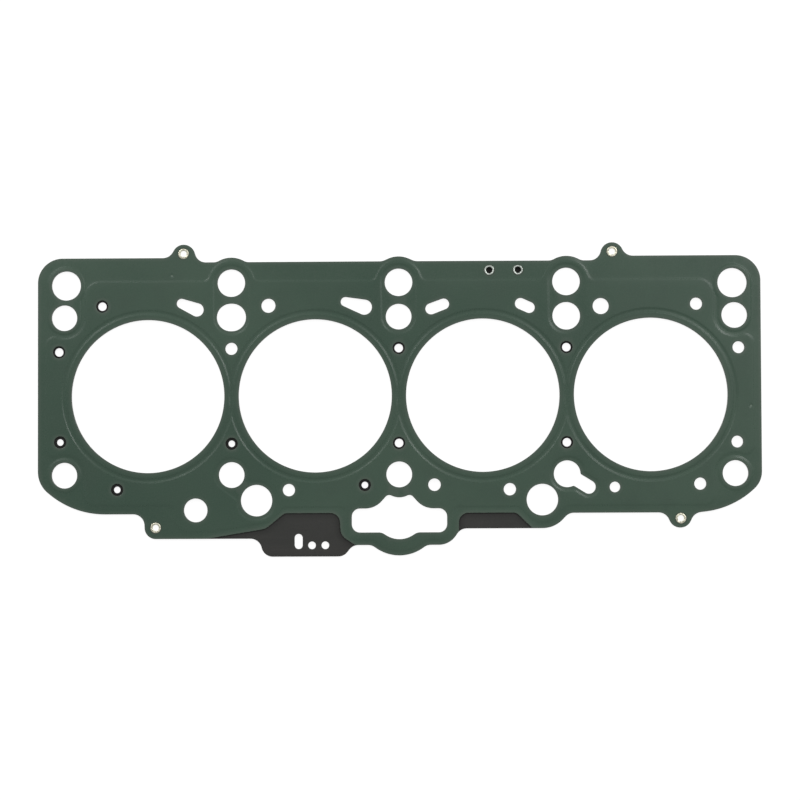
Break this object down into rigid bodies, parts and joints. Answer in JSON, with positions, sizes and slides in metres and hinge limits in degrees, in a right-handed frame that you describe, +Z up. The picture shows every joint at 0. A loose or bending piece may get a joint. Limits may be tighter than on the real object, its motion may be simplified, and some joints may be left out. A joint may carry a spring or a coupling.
{
  "type": "cylinder head gasket",
  "caption": "Flat multi-layer steel cylinder head gasket with round bore openings in a row, embossed sealing beads, bolt and coolant holes and a bare label tab.",
  "frame": {"origin": "middle of the plan box, on the plane the gasket lies on (the lowest face of the bottom sheet)", "axes": "+X along the row of bores, +Y away from the label tab, +Z up through the sheets"},
  "size_m": [0.3798, 0.1644, 0.0022],
  "materials": {
    "coated_sheet": "satin elastomer coating on steel",
    "carrier_sheet": "matt black",
    "eyelet_metal": "pale plated",
    "rivet_metal": "plain rolled"
  },
  "bodies": {
    "root": {"upper_sheet": "coated_sheet", "lower_sheet": "coated_sheet", "core_sheet": "carrier_sheet", "eyelets": "eyelet_metal", "small_rivets": "rivet_metal"}
  },
  "joints": []
}
